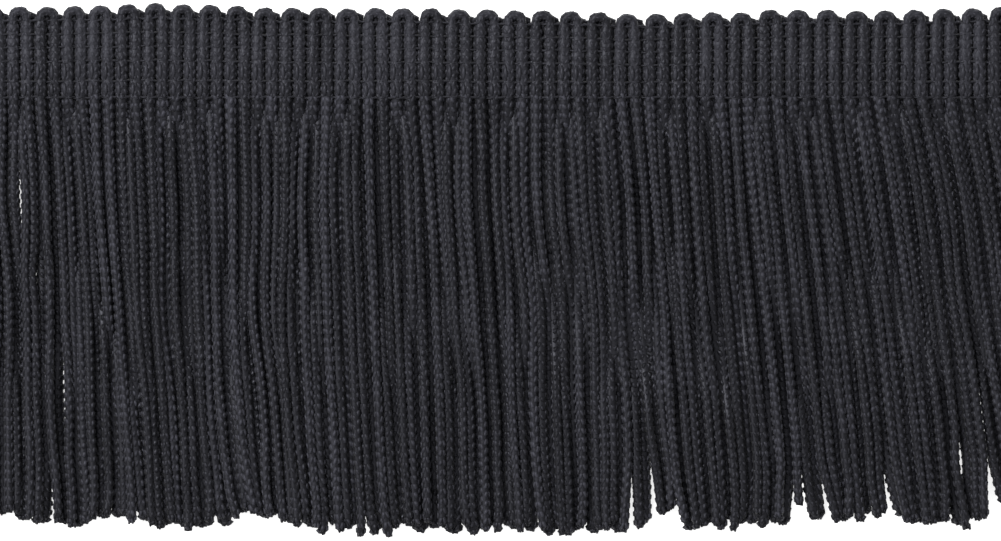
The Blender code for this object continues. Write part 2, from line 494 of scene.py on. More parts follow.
@dataclass
class FringeLay:
    """Where the strands of both rows lie, worked out together so that they cover each other."""

    sizes: TrimSizes
    drift: Drift
    seed: int = 51
    samples: int = 64
    wander: Noise = Noise(4, -0.32, 0.32)
    drift_hold: int = 3
    mingle: float = 0.12
    swap: tuple[float, float] = (0.3, 0.65)
    swap_length: float = 0.14
    part_share: float = 0.75
    part_growth: float = 1.2
    slit_reach: float = 1.6
    cover: float = 1.14
    pull: float = 0.3
    rounds: int = 200

    def lean_at(self, along: float, share: float) -> float:
        """Slope of the fringe at a place, share being 0 at the heading and 1 at the ends.

        Args:
            along: Place along the trim.
            share: Place down the fringe.

        Returns:
            Sideways run for each millimetre down.
        """
        upper, middle, lower = (read_table(LEANS, name, along) for name in ("upper", "middle", "lower"))
        if share < 0.5:
            return upper + (middle - upper) * share / 0.5
        return middle + (lower - middle) * (share - 0.5) / 0.5

    def parting_push(self, foot: float, share: float) -> float:
        """Sideways push of the partings on a strand, from where its foot would lie.

        Args:
            foot: Where the foot would lie.
            share: Place down the fringe.

        Returns:
            The push, in millimetres.
        """
        push = 0.0
        for parting in PARTINGS:
            grown = max(0.0, (share - parting.start) / (1 - parting.start)) ** self.part_growth
            away = foot - parting.along
            fade = math.exp(-abs(away) / self.sizes.parting_reach)
            push += math.copysign(parting.width * self.part_share, away) * fade * grown
        return push

    def slit_push(self, x: np.ndarray, shares: np.ndarray) -> np.ndarray:
        """Sideways push of the thin slits that open and close part of the way down.

        Args:
            x: The strand's places along the trim.
            shares: Places down the fringe.

        Returns:
            A push for each share, in millimetres.
        """
        push = np.zeros(len(x))
        for slit in SLITS:
            within = np.clip((shares - slit.top) / (slit.bottom - slit.top), 0, 1)
            away = x[int(np.argmin(np.abs(shares - (slit.top + slit.bottom) / 2)))] - slit.along
            fade = math.exp(-abs(away) / self.slit_reach)
            push += math.copysign(slit.width, away) * fade * np.sin(within * math.pi)
        return push

    def settle(self, lines: np.ndarray) -> np.ndarray:
        """Draw neighbours together wherever they stand too far apart to cover what is behind.

        Args:
            lines: A row of places for each strand, from left to right.

        Returns:
            The same rows, drawn together.
        """
        for _ in range(self.rounds):
            over = np.maximum(np.diff(lines, axis=0) - self.cover, 0) * self.pull
            lines[:-1] += over
            lines[1:] -= over
        return lines

    def group_places(self, draw: random.Random, count: int) -> np.ndarray:
        """Depth and shift of each strand, from groups drawn one after another.

        Args:
            draw: Source of the random draws.
            count: Number of strands.

        Returns:
            A row of depth and shift for each strand.
        """
        found: list[Place] = []
        while len(found) < count:
            found += draw.choices(GROUPS, [group.often for group in GROUPS])[0].places
        return np.array(found[:count])

    def mingled(self, draw: random.Random, rows: Sequence[Row], shares: np.ndarray) -> np.ndarray:
        """Depth and shift of each strand at each share of the way down.

        Args:
            draw: Source of the random values.
            rows: The row that each strand starts in, from left to right.
            shares: Shares of the way down.

        Returns:
            An array by strand, share, and depth or shift.
        """
        upper, lower = self.group_places(draw, len(rows)), self.group_places(draw, len(rows))
        entered = ease(shares / self.mingle)[:, None]
        found = []
        for row, above, below in zip(rows, upper, lower):
            root = np.array([0.0 if row is Row.FRONT else 1.0, 0.0])
            swapped = ease((shares - draw.uniform(*self.swap)) / self.swap_length)[:, None]
            found.append(root + (above + (below - above) * swapped - root) * entered)
        return np.array(found)

    def lies(self) -> dict[Row, list[Lie]]:
        """How each strand lies, by the row that it starts in.

        Returns:
            The lies of each row's strands, from left to right.
        """
        sizes = self.sizes
        fall = -sizes.top - sizes.fringe_end
        shares = np.linspace(0, 1, self.samples)
        draw = random.Random(self.seed)
        starts = sorted((place, row.value) for row in Row for place in sizes.leg_places(row))
        rows = [Row(name) for _, name in starts]
        lines = []
        for start, _ in starts:
            x = [start]
            for share in shares[1:]:
                x.append(x[-1] + self.lean_at(x[-1], share) * fall / (self.samples - 1))
            drifted = np.array(x) + self.drift.at(start, shares) * (1 - shares ** self.drift_hold)
            lines.append(drifted + self.wander.line(draw, self.samples))
        lines = self.settle(np.array(lines))
        mingled = self.mingled(draw, rows, shares)
        lines += mingled[:, :, 1]
        for line in lines:
            line += self.slit_push(line, shares)
            line += np.array([self.parting_push(line[-1], share) for share in shares])
        return {row: [Lie(line, depth) for line, depth, own in zip(lines, mingled[:, :, 0], rows)
                      if own is row] for row in Row}


@dataclass
class FringeRow:
    """One cord's legs below the heading, down to their cut ends."""

    sizes: TrimSizes
    row: Row
    face_drop: float = 0.1
    back_raise: float = 0.14
    slack: Noise = Noise(9, 0.0, 0.12)
    ragged: float = 0.5
    most_ragged: float = 1.1
    flare: float = 0.1
    flare_fade: float = 1.5
    rounding: float = 0.5
    end_girth: float = 0.55
    end_shares: Triple = (0.9935, 0.9965, 0.9985)
    neck: float = 0.05
    neck_fade: float = 0.02
    front_width: float = 1.08
    root_width: float = 0.34
    root_raise: float = 0.45
    # Painted light on the strands near the heading
    painted_root_light: float = 0.2
    root_fade: float = 0.08
    back_width: float = 1.7
    back_depth: float = 0.88
    # Painted shade on the deeper strands
    painted_depth_shade: float = 0.4
    end_shade: float = 0.9
    end_fade: float = 0.5
    unevenness: Noise = Noise(12, -0.05, 0.05)
    twist: Noise = Noise(4, -1.2, 1.2)
    paces: tuple[float, float] = (0.92, 1.08)

    def girth_near_end(self, shares: np.ndarray, length: float) -> np.ndarray:
        """Girth of a strand: even, then a little flared above the rounded cut end.

        Args:
            shares: Places down the strand.
            length: Its length in millimetres.

        Returns:
            Share of the cord's own girth at each place.
        """
        left = (1 - shares) * length
        rounded = np.sqrt(np.clip(left / self.rounding, 0, 1))
        return ((1 + self.flare * np.exp(-left / self.flare_fade))
                * np.clip(self.end_girth + (1 - self.end_girth) * rounded, 0, 1))

    def paths(self, lies: Sequence[Lie]) -> list[Path]:
        """Middle lines of the strands, from the heading's lower edge to the cut ends.

        Args:
            lies: How each strand lies, from FringeLay.

        Returns:
            A path for each strand.
        """
        sizes, root_y = self.sizes, -self.sizes.top
        draw = random.Random(SEEDS[self.row].fringe)
        face = sizes.layer_middle(Row.FRONT) - self.face_drop
        back = sizes.layer_middle(Row.BACK) + self.back_raise
        shares = np.linspace(0, 1, len(lies[0].line))
        every = np.sort(np.concatenate([shares, self.end_shares]))
        near_root = np.exp(-every / self.root_fade)
        found = []
        for lie in lies:
            ragged = max(-self.most_ragged, min(self.most_ragged, draw.gauss(0, self.ragged)))
            end_y = sizes.fringe_end + read_table(CUTS, "rise", lie.line[-1]) + ragged
            x, deep = np.interp(every, shares, lie.line), np.interp(every, shares, lie.depth)
            slack = self.slack.line(draw, len(every)) * (2 * deep - 1)
            z = face + (back - face) * deep + self.root_raise * deep * near_root + slack
            top_y = root_y + draw.uniform(0.0, sizes.stitch)
            y = top_y + (end_y - top_y) * every
            girth = self.girth_near_end(every, root_y - end_y)
            girth = girth * (1 - self.neck * np.exp(-every / self.neck_fade))
            girth = girth * (1.0 + self.unevenness.line(draw, len(every)))
            turn = draw.uniform(0, math.tau) + self.twist.line(draw, len(every))
            width = self.front_width + (self.back_width - self.front_width) * deep
            width = width + self.root_width * near_root
            depth = 1.0 + (self.back_depth - 1.0) * deep
            # Painted shade darkens the deeper strands, painted light brightens them near the heading, and
            # painted shade darkens them near the cut ends
            tone = draw.random() - self.painted_depth_shade * deep + self.painted_root_light * near_root
            tone = tone - self.end_shade * np.exp((every - 1) * (root_y - end_y) / self.end_fade)
            found.append(Path.of(x, y, z, girth * width, girth * depth, turn,
                                 tone=tone, pace=draw.uniform(*self.paces)))
        return found


@dataclass
class YarnMesh:
    """Vertices and faces of yarn, and the texture places of each face's corners, along it in V."""

    verts: list = field(default_factory=list)
    faces: list = field(default_factory=list)
    uvs: list = field(default_factory=list)

    def face(self, corners: Sequence[int], places: Sequence[tuple[float, float]]) -> None:
        """Add a face by its corners and their texture places."""
        self.faces.append(tuple(corners))
        self.uvs.append(tuple(places))

    def make(self, name: str) -> Piece:
        """Make the object.

        Args:
            name: Name of the object.

        Returns:
            The object, with its texture places.
        """
        mesh = bpy.data.meshes.new(name)
        mesh.from_pydata([vert * MM for vert in self.verts], [], self.faces)
        layer = mesh.uv_layers.new(name="yarn")
        layer.data.foreach_set("uv", [value for face in self.uvs for corner in face for value in corner])
        mesh.shade_smooth()
        return add_object(name, mesh)


@dataclass
class StitchShape:
    """One round of chain stitches: a V of two yarn legs in each wale round the cord, over a core."""

    outer: float
    pitch: float
    wales: int
    sides: int
    core_sides: int = 6
    core_steps: int = 1
    relief_and_painted_crest_shade: float = 1.0
    leg_share: float = 0.29
    leg_girth: tuple[float, float] = (1.0, 0.92)
    fill: float = 1.06
    core_sunk: float = 0.85
    core_overlap: float = 0.02
    tip_sunk: float = 0.42

    @property
    def yarn_depth(self) -> float:
        """Half of a yarn leg's depth."""
        return self.outer * self.leg_share

    @property
    def yarn_width(self) -> float:
        """Half of a yarn leg's width, so that the legs fill the round."""
        return (self.outer - self.yarn_depth) * math.tau / self.wales / 4 * self.fill

    def leg(self, mesh: YarnMesh, route: Sequence[Triple]) -> None:
        """Add one leg of yarn as a closed spindle.

        Args:
            mesh: Mesh that it is added to.
            route: Its middle line as (angle round the cord, radius, height) at both tips and between.
        """
        places = [Vector((r * math.cos(a), r * math.sin(a), z)) for a, r, z in route]
        first, sides, steps = len(mesh.verts), self.sides, len(route) - 1
        mesh.verts.append(places[0])
        for ring, girth in enumerate(self.leg_girth, start=1):
            angle = route[ring][0]
            out = Vector((math.cos(angle), math.sin(angle), 0))
            run = (places[ring + 1] - places[ring - 1]).normalized()
            side = run.cross(out).normalized()
            out = side.cross(run).normalized()
            for corner in range(sides):
                at = math.tau * (corner + 0.5) / sides
                wide = self.yarn_width * girth * math.cos(at)
                deep = self.yarn_depth * girth * math.sin(at)
                mesh.verts.append(places[ring] + side * wide + out * deep)
        mesh.verts.append(places[-1])
        last = len(mesh.verts) - 1
        for corner in range(sides):
            after = (corner + 1) % sides
            left, right = corner / sides, (corner + 1) / sides
            mesh.face((first, first + 1 + after, first + 1 + corner),
                      ((left, 0), (right, 1 / steps), (left, 1 / steps)))
            for ring in range(1, steps - 1):
                base, high = first + 1 + (ring - 1) * sides, first + 1 + ring * sides
                mesh.face((base + corner, base + after, high + after, high + corner),
                          ((left, ring / steps), (right, ring / steps),
                           (right, (ring + 1) / steps), (left, (ring + 1) / steps)))
            mesh.face((last - sides + corner, last - sides + after, last),
                      ((left, 1 - 1 / steps), (right, 1 - 1 / steps), (left, 1)))

    def core(self, mesh: YarnMesh) -> None:
        """Add this round's length of the core, which fills the cord under its stitches.

        Args:
            mesh: Mesh to add it to.
        """
        first, sides = len(mesh.verts), self.core_sides
        radius = self.outer - self.yarn_depth * self.core_sunk * self.relief_and_painted_crest_shade
        for step in range(self.core_steps + 1):
            share = (1 + 2 * self.core_overlap) * step / self.core_steps - self.core_overlap
            for corner in range(sides):
                at = math.tau * corner / sides
                mesh.verts.append(Vector((radius * math.cos(at), radius * math.sin(at), self.pitch * share)))
        # The core's faces all take texture place 0, where the yarn's material paints its deepest shade
        for step in range(self.core_steps):
            base = first + step * sides
            for corner in range(sides):
                after = (corner + 1) % sides
                mesh.face((base + corner, base + after, base + sides + after, base + sides + corner),
                          ((0, 0),) * 4)

    def build(self, name: str) -> Piece:
        """Make the round of stitches as an object round the local Z axis, for instancing.

        Args:
            name: Name of the object.

        Returns:
            The object, which keeps each vertex's place in the round.
        """
        mesh = YarnMesh()
        sector = math.tau / self.wales
        middle = self.outer - self.yarn_depth
        sunk = self.outer * self.tip_sunk * self.relief_and_painted_crest_shade
        for wale in range(self.wales):
            rise = self.pitch * (wale % 2) / 2
            for side in (-1, 1):
                self.leg(mesh, [(wale * sector + side * sector * point.across, middle - sunk * point.sunk,
                                 rise + point.rise * self.pitch) for point in YARN_LEG])
        self.core(mesh)
        piece = mesh.make(name)
        local = piece.data.attributes.new("local", "FLOAT_VECTOR", "POINT")
        local.data.foreach_set("vector", [value * MM for vert in mesh.verts for value in vert])
        return piece


class NodeGraph:
    """A node tree whose nodes are added with their values and links by the sockets' names."""

    def __init__(self, tree: bpy.types.NodeTree) -> None:
        """Take the tree to add to."""
        self.tree = tree

    def node(self, kind: str, settings: dict | None = None, **links: object) -> bpy.types.Node:
        """Add a node.

        Args:
            kind: The node's type.
            settings: Its properties, set first.
            **links: Values or outputs by the input socket's name, with _ for a space.

        Returns:
            The node.
        """
        made = self.tree.nodes.new(kind)
        for key, value in (settings or {}).items():
            setattr(made, key, value)
        for key, value in links.items():
            self.feed(made.inputs[key.replace("_", " ")], value)
        return made

    def feed(self, socket: Socket, value: object) -> None:
        """Link an output to an input, or set the input's value.

        Args:
            socket: The input.
            value: An output, some shader maths or a value.
        """
        value = value.socket if isinstance(value, Maths) else value
        if isinstance(value, Socket):
            self.tree.links.new(value, socket)
        else:
            socket.default_value = value

    def number(self, operation: str, first: object, second: object = 0.0) -> Socket:
        """Arithmetic on two numbers.

        Args:
            operation: What the Math node does.
            first: First value or output.
            second: Second value or output.

        Returns:
            The node's output.
        """
        made = self.node("ShaderNodeMath", {"operation": operation})
        for socket, value in zip(made.inputs, (first, second)):
            self.feed(socket, value)
        return made.outputs["Value"]


class Maths:
    """A shader value with arithmetic written as Python expressions."""

    def __init__(self, graph: NodeGraph, socket: Socket) -> None:
        """Wrap an output socket of a graph."""
        self.graph, self.socket = graph, socket

    def reckon(self, operation: str, other: object = 0.0) -> "Maths":
        """Add a Math node on this value and another."""
        return Maths(self.graph, self.graph.number(operation, self, other))

    def __add__(self, other: object) -> "Maths":
        """Sum."""
        return self.reckon("ADD", other)

    def __mul__(self, other: object) -> "Maths":
        """Product."""
        return self.reckon("MULTIPLY", other)

    def __sub__(self, other: object) -> "Maths":
        """Difference."""
        return self.reckon("SUBTRACT", other)

    def sine(self) -> "Maths":
        """Sine, in radians."""
        return self.reckon("SINE")


class PaintTree(NodeGraph):
    """Nodes of a new material."""

    def __init__(self, name: str) -> None:
        """Make the material.

        Args:
            name: Name of the material.
        """
        self.material = bpy.data.materials.new(name)
        self.material.use_nodes = True
        super().__init__(self.material.node_tree)

    def finish(self, **looks: object) -> Finish:
        """Set or link the shader's inputs by name, with _ for a space, and give the material.

        Args:
            **looks: A value or output for each input.

        Returns:
            The material.
        """
        for key, value in looks.items():
            self.feed(self.tree.nodes["Principled BSDF"].inputs[key.replace("_", " ")], value)
        return self.material


class KnittingTree(NodeGraph):
    """Geometry Nodes that knit rounds of stitches along polylines and bend each round to its path."""

    INPUTS = {"Geometry": "NodeSocketGeometry", "Stitch": "NodeSocketObject",
              "Stitch Pitch": "NodeSocketFloat", "Material": "NodeSocketMaterial"}
    WORKING = ("start", "strand", "shape", "local", "pace")
    BEFORE_END = 0.999

    def __init__(self) -> None:
        """Build the tree, and keep its inputs' identifiers by name."""
        super().__init__(bpy.data.node_groups.new("knit_along_path", "GeometryNodeTree"))
        sockets = self.tree.interface
        self.inputs = {name: sockets.new_socket(name, in_out="INPUT", socket_type=kind).identifier
                       for name, kind in self.INPUTS.items()}
        sockets.new_socket("Geometry", in_out="OUTPUT", socket_type="NodeSocketGeometry")
        self.wire()

    def attribute(self, name: str, kind: str = "FLOAT") -> Socket:
        """Value of a named attribute where the field is read."""
        found = self.node("GeometryNodeInputNamedAttribute", {"data_type": kind}, Name=name)
        return found.outputs["Attribute"]

    def keep(self, geometry: Socket, name: str, kind: str, value: Socket) -> Socket:
        """Store a value on a geometry's points under a name."""
        return self.node("GeometryNodeStoreNamedAttribute", {"data_type": kind, "domain": "POINT"},
                         Geometry=geometry, Name=name, Value=value).outputs["Geometry"]

    def vector(self, operation: str, first: object, second: object = None) -> Socket:
        """Vector arithmetic on two values, or on a vector and a scale.

        Args:
            operation: What the node does.
            first: First vector.
            second: Second vector, or the scale.

        Returns:
            The node's output.
        """
        made = self.node("ShaderNodeVectorMath", {"operation": operation})
        self.feed(made.inputs[0], first)
        if second is not None:
            self.feed(made.inputs["Scale"] if operation == "SCALE" else made.inputs[1], second)
        return made.outputs["Vector"]

    def wire(self) -> None:
        """Link the nodes: paths, a round of stitches at each pitch, each bent to its path, and material."""
        given = self.node("NodeGroupInput").outputs
        curve = self.node("GeometryNodeMeshToCurve", Mesh=given["Geometry"]).outputs["Curve"]
        run = self.node("GeometryNodeSplineParameter")
        curve = self.keep(curve, "start", "FLOAT", run.outputs["Length"])
        strand = self.node("GeometryNodeCurveOfPoint").outputs["Curve Index"]
        curve = self.keep(curve, "strand", "INT", strand)
        pace = self.attribute("pace")
        spaced = self.node("GeometryNodeResampleCurve", {"mode": "LENGTH"}, Curve=curve,
                           Length=self.number("MULTIPLY", given["Stitch Pitch"], pace)).outputs["Curve"]
        before_end = self.node("FunctionNodeCompare", {"data_type": "FLOAT", "operation": "LESS_THAN"},
                               A=run.outputs["Factor"], B=self.BEFORE_END).outputs["Result"]
        stitch = self.node("GeometryNodeObjectInfo", Object=given["Stitch"]).outputs["Geometry"]
        rounds = self.node("GeometryNodeInstanceOnPoints", Points=spaced, Selection=before_end,
                           Instance=stitch).outputs["Instances"]
        real = self.node("GeometryNodeRealizeInstances", Geometry=rounds).outputs["Geometry"]
        local = self.attribute("local", "FLOAT_VECTOR")
        height = self.number("MULTIPLY", self.node("ShaderNodeSeparateXYZ", Vector=local).outputs["Z"], pace)
        found = self.node("GeometryNodeSampleCurve",
                          {"mode": "LENGTH", "use_all_curves": False, "data_type": "FLOAT_VECTOR"},
                          Curves=curve, Value=self.attribute("shape", "FLOAT_VECTOR"),
                          Length=self.number("ADD", self.attribute("start"), height),
                          Curve_Index=self.attribute("strand", "INT"))
        value = found.outputs["Value"]
        shape = self.node("ShaderNodeSeparateXYZ", Vector=value).outputs
        turned = self.node("ShaderNodeVectorRotate", {"rotation_type": "Z_AXIS"}, Vector=local,
                           Angle=shape["Z"]).outputs["Vector"]
        section = self.node("ShaderNodeSeparateXYZ", Vector=turned).outputs
        tangent = found.outputs["Tangent"]
        across = self.vector("NORMALIZE", self.vector("CROSS_PRODUCT", tangent, (0, 0, 1)))
        upward = self.vector("CROSS_PRODUCT", across, tangent)
        sideways = self.vector("SCALE", across, self.number("MULTIPLY", section["X"], shape["X"]))
        outward = self.vector("SCALE", upward, self.number("MULTIPLY", section["Y"], shape["Y"]))
        place = self.vector("ADD", found.outputs["Position"], self.vector("ADD", sideways, outward))
        bent = self.node("GeometryNodeSetPosition", Geometry=real, Position=place).outputs["Geometry"]
        painted = self.node("GeometryNodeSetMaterial", Geometry=bent,
                            Material=given["Material"]).outputs["Geometry"]
        self.node("NodeGroupOutput", Geometry=painted)

    def knit(self, name: str, paths: Sequence[Path], stitch: StitchShape, finish: Finish) -> Piece:
        """Knit a cord along each path into one plain mesh.

        Args:
            name: The piece's name.
            paths: Middle lines of its cords.
            stitch: The round of stitches.
            finish: Material of the yarn.

        Returns:
            The finished piece, with no modifier.
        """
        mesh = bpy.data.meshes.new(f"{name}_paths")
        points = np.concatenate([path.points for path in paths]) * MM
        edges, start = [], 0
        for path in paths:
            edges += [(start + step, start + step + 1) for step in range(len(path.points) - 1)]
            start += len(path.points)
        mesh.from_pydata(points.tolist(), edges, [])
        shape = mesh.attributes.new("shape", "FLOAT_VECTOR", "POINT")
        shape.data.foreach_set("vector", np.concatenate([path.shape for path in paths]).ravel())
        for key in ("tone", "pace"):
            column = np.concatenate([np.broadcast_to(getattr(path, key), len(path.points)) for path in paths])
            mesh.attributes.new(key, "FLOAT", "POINT").data.foreach_set("value", column)
        piece, helper = add_object(name, mesh), stitch.build(f"{name}_stitch")
        nodes = piece.modifiers.new("knit", "NODES")
        nodes.node_group = self.tree
        settings = {"Stitch": helper, "Stitch Pitch": stitch.pitch * MM, "Material": finish}
        for key, value in settings.items():
            nodes[self.inputs[key]] = value
        graph = bpy.context.evaluated_depsgraph_get()
        knitted = bpy.data.meshes.new_from_object(piece.evaluated_get(graph))
        piece.modifiers.remove(nodes)
        piece.data = knitted
        knitted.name = name
        for working in self.WORKING:
            if working in knitted.attributes:
                knitted.attributes.remove(knitted.attributes[working])
        knitted.shade_smooth()
        bpy.data.meshes.remove(mesh)
        bpy.data.objects.remove(helper, do_unlink=True)
        return piece


@dataclass
class YarnTubes(YarnMesh):
    """Plain lengths of yarn, each a tapered tube, gathered into one mesh."""

    sides: int = 3
    tones: list = field(default_factory=list)

    def add(self, points: Sequence[Vector], radii: Sequence[float], tone: float) -> None:
        """Add one closed tube along a few points.

        Args:
            points: Its middle line.
            radii: Its radius at each point.
            tone: How pale it is drawn, from 0 to 1, and below 0 for painted shade.
        """
        first, last, sides = len(self.verts), len(points) - 1, self.sides
        for index, (point, radius) in enumerate(zip(points, radii)):
            run = (points[min(index + 1, last)] - points[max(index - 1, 0)]).normalized()
            across = run.cross(Vector((0, 0, 1))).normalized()
            upward = across.cross(run)
            for corner in range(sides):
                at = math.tau * corner / sides + math.pi / 2
                self.verts.append(point + (across * math.cos(at) + upward * math.sin(at)) * radius)
            self.tones += [tone] * sides
        for index in range(last):
            base, high = first + index * sides, first + (index + 1) * sides
            for corner in range(sides):
                after = (corner + 1) % sides
                left, right = corner / sides, (corner + 1) / sides
                self.face((base + after, base + corner, high + corner, high + after),
                          ((right, index / last), (left, index / last),
                           (left, (index + 1) / last), (right, (index + 1) / last)))
        top = first + last * sides
        # The caps take texture place 0, where the yarn's material paints its deepest shade
        for cap in (range(first, first + sides), reversed(range(top, top + sides))):
            self.face(cap, ((0, 0),) * sides)

    def build(self, name: str, finish: Finish) -> Piece:
        """Make the gathered tubes as one piece.

        Args:
            name: Name of the piece.
            finish: Its material.

        Returns:
            The piece.
        """
        piece = self.make(name)
        piece.data.attributes.new("tone", "FLOAT", "POINT").data.foreach_set("value", self.tones)
        piece.data.materials.append(finish)
        return piece


@dataclass
class CutEnds:
    """Short loose ends of yarn that fill each strand's cut."""

    per_strand: int = 6
    sides: int = 5
    thickness: float = 0.24
    taper: float = 0.65
    root: float = 0.6
    reach: tuple[float, float] = (-0.22, 0.2)
    spread: tuple[float, float] = (0.25, 0.7)
    unevenness: float = 0.6
    splay: float = 0.2
    # Painted shade: the loose ends are drawn darker, as the strands are near their cut
    tone: float = -0.4
    run_points: int = 8

    def gather(self, paths: Sequence[Path], outer: float, seed: int) -> YarnTubes:
        """Make the ends of a row of strands.

        Args:
            paths: Middle lines of the strands.
            outer: Half of a strand's width.
            seed: Start of the random values.

        Returns:
            The ends, as tubes.
        """
        draw = random.Random(seed)
        tubes = YarnTubes(sides=self.sides)
        for path in paths:
            end = Vector(path.points[-1])
            run = (end - Vector(path.points[-self.run_points])).normalized()
            across = run.cross(Vector((0, 0, 1))).normalized()
            upward = across.cross(run)
            for index in range(self.per_strand):
                angle = math.tau * (index + draw.uniform(0, self.unevenness)) / self.per_strand
                out = outer * draw.uniform(*self.spread)
                offset = across * (out * math.cos(angle)) + upward * (out * math.sin(angle))
                base = end - run * self.root + offset
                tip = end + run * draw.uniform(*self.reach) + offset * (1 + draw.uniform(0, self.splay))
                tubes.add((base, tip), (self.thickness, self.thickness * self.taper), self.tone)
        return tubes


@dataclass
class LaidStitches:
    """Smooth stitches laid along each front leg below, and a filling in each turn drawn darkest as painted
    shade.
    """

    sizes: TrimSizes
    zones: tuple[tuple[float, float], ...] = ((8.25, 10.6), (11.05, 12.9))
    seed: int = 91
    sides: int = 6
    steps: int = 5
    offset: float = -0.32
    slant: float = 0.12
    thickness: float = 0.31
    unevenness: tuple[float, float] = (0.9, 1.1)
    tip: float = 0.12
    crest: float = 0.56
    tip_height: float = 0.7
    tones: tuple[float, float] = (0.2, 0.8)
    inner_top: float = 0.7
    inner_depth: float = 1.9
    inner_thickness: float = 0.62

    def gather(self) -> YarnTubes:
        """Make one stitch in each zone of each front leg, and a filling in each turn.

        Returns:
            The tubes of all the stitches.
        """
        sizes = self.sizes
        draw = random.Random(self.seed)
        tubes = YarnTubes(sides=self.sides)
        front, back = sizes.layer_middle(Row.FRONT), sizes.layer_middle(Row.BACK)
        for place in sizes.leg_places(Row.FRONT):
            for high, low in self.zones:
                points, radii = [], []
                slant = draw.uniform(-self.slant, self.slant)
                for step in range(self.steps):
                    share = step / (self.steps - 1)
                    y = sizes.top - high - (low - high) * share
                    swell = math.sin(math.pi * (self.tip + (1 - 2 * self.tip) * share))
                    x = place + self.offset + slant * (share - 0.5)
                    z = front + self.crest * (self.tip_height + (1 - self.tip_height) * swell)
                    points.append(Vector((x, y + sizes.edge_lift(place, y), z)))
                    radii.append(self.thickness * swell * draw.uniform(*self.unevenness))
                tubes.add(points, radii, draw.uniform(*self.tones))
        top = sizes.spring(Row.FRONT) + sizes.leg * self.inner_top
        for index in range(sizes.loops):
            centre = sizes.loop_centre(index, Row.FRONT)
            z, lift = (front + back) / 2, sizes.edge_lift(centre, top)
            # Painted shade: the filling of each turn is drawn at the darkest tone
            tubes.add((Vector((centre, top + lift, z)), Vector((centre, top - self.inner_depth + lift, z))),
                      (self.inner_thickness,) * 2, 0.0)
        return tubes


@dataclass(frozen=True)
class RayonFinish:
    """Satin black rayon yarn: its dye and painted light and shade, its sheen and the fine lie of its
    filaments.
    """

    name: str
    dark: Triple
    light: Triple
    roughness: float = 0.5
    filaments: float = 7.0
    filament_slant: float = 3.0
    filament_height: float = 0.012
    filament_share: float = 0.5
    # Weight of the painted highlight on the middle of each leg of yarn and the painted shade at its tips and
    # core
    relief_and_painted_crest_shade: float = 0.6
    crest_middle: float = 0.65
    tone_share: float = 0.4
    cloud_share: float = 0.6
    cloud_scale: float = 260.0
    flecks: float = 0.6
    fleck_scale: float = 3000.0
    paleness: float = 0.38
    rough_flecks: float = 0.3
    rough_tone: float = 0.1
    bump: float = 0.5
    specular: float = 0.26
    tint: Triple = (0.86, 0.87, 1.0)
    sheen: float = 0.04
    sheen_roughness: float = 0.5

    def build(self) -> Finish:
        """Make the yarn's material, with painted light and shade from its texture places and the strand's
        tone.

        Returns:
            The material.
        """
        graph = PaintTree(self.name)
        place = graph.node("ShaderNodeTexCoord").outputs["Object"]
        tone, cloudy, fine = (Maths(graph, made.outputs["Fac"]) - 0.5 for made in (
            graph.node("ShaderNodeAttribute", {"attribute_name": "tone"}),
            graph.node("ShaderNodeTexNoise", Vector=place, Scale=self.cloud_scale),
            graph.node("ShaderNodeTexNoise", Vector=place, Scale=self.fleck_scale)))
        uv = graph.node("ShaderNodeUVMap", {"uv_map": "yarn"}).outputs["UV"]
        along = graph.node("ShaderNodeSeparateXYZ", Vector=uv).outputs
        around, run = Maths(graph, along["X"]), Maths(graph, along["Y"])
        lines = ((around * self.filaments + run * self.filament_slant) * math.tau).sine()
        # Painted highlight on the middle of each leg of yarn, painted shade at its tips and on the core; the
        # tone adds random paleness and painted shade, the clouds and flecks random paleness
        crest = (run * math.pi).sine() - self.crest_middle
        mixed = crest * self.relief_and_painted_crest_shade + tone * self.tone_share + cloudy * self.cloud_share
        mixed = mixed + fine * self.flecks + self.paleness
        colour = graph.node("ShaderNodeMix", {"data_type": "RGBA", "clamp_factor": True}, Factor=mixed,
                            A=(*self.dark, 1.0), B=(*self.light, 1.0)).outputs["Result"]
        rough = fine * self.rough_flecks + self.roughness + tone * self.rough_tone
        bump = graph.node("ShaderNodeBump", Height=lines * self.filament_share + fine, Strength=self.bump,
                          Distance=self.filament_height * MM).outputs["Normal"]
        return graph.finish(Base_Color=colour, Roughness=rough, Normal=bump,
                            Specular_IOR_Level=self.specular, Specular_Tint=(*self.tint, 1.0),
                            Sheen_Weight=self.sheen, Sheen_Roughness=self.sheen_roughness)


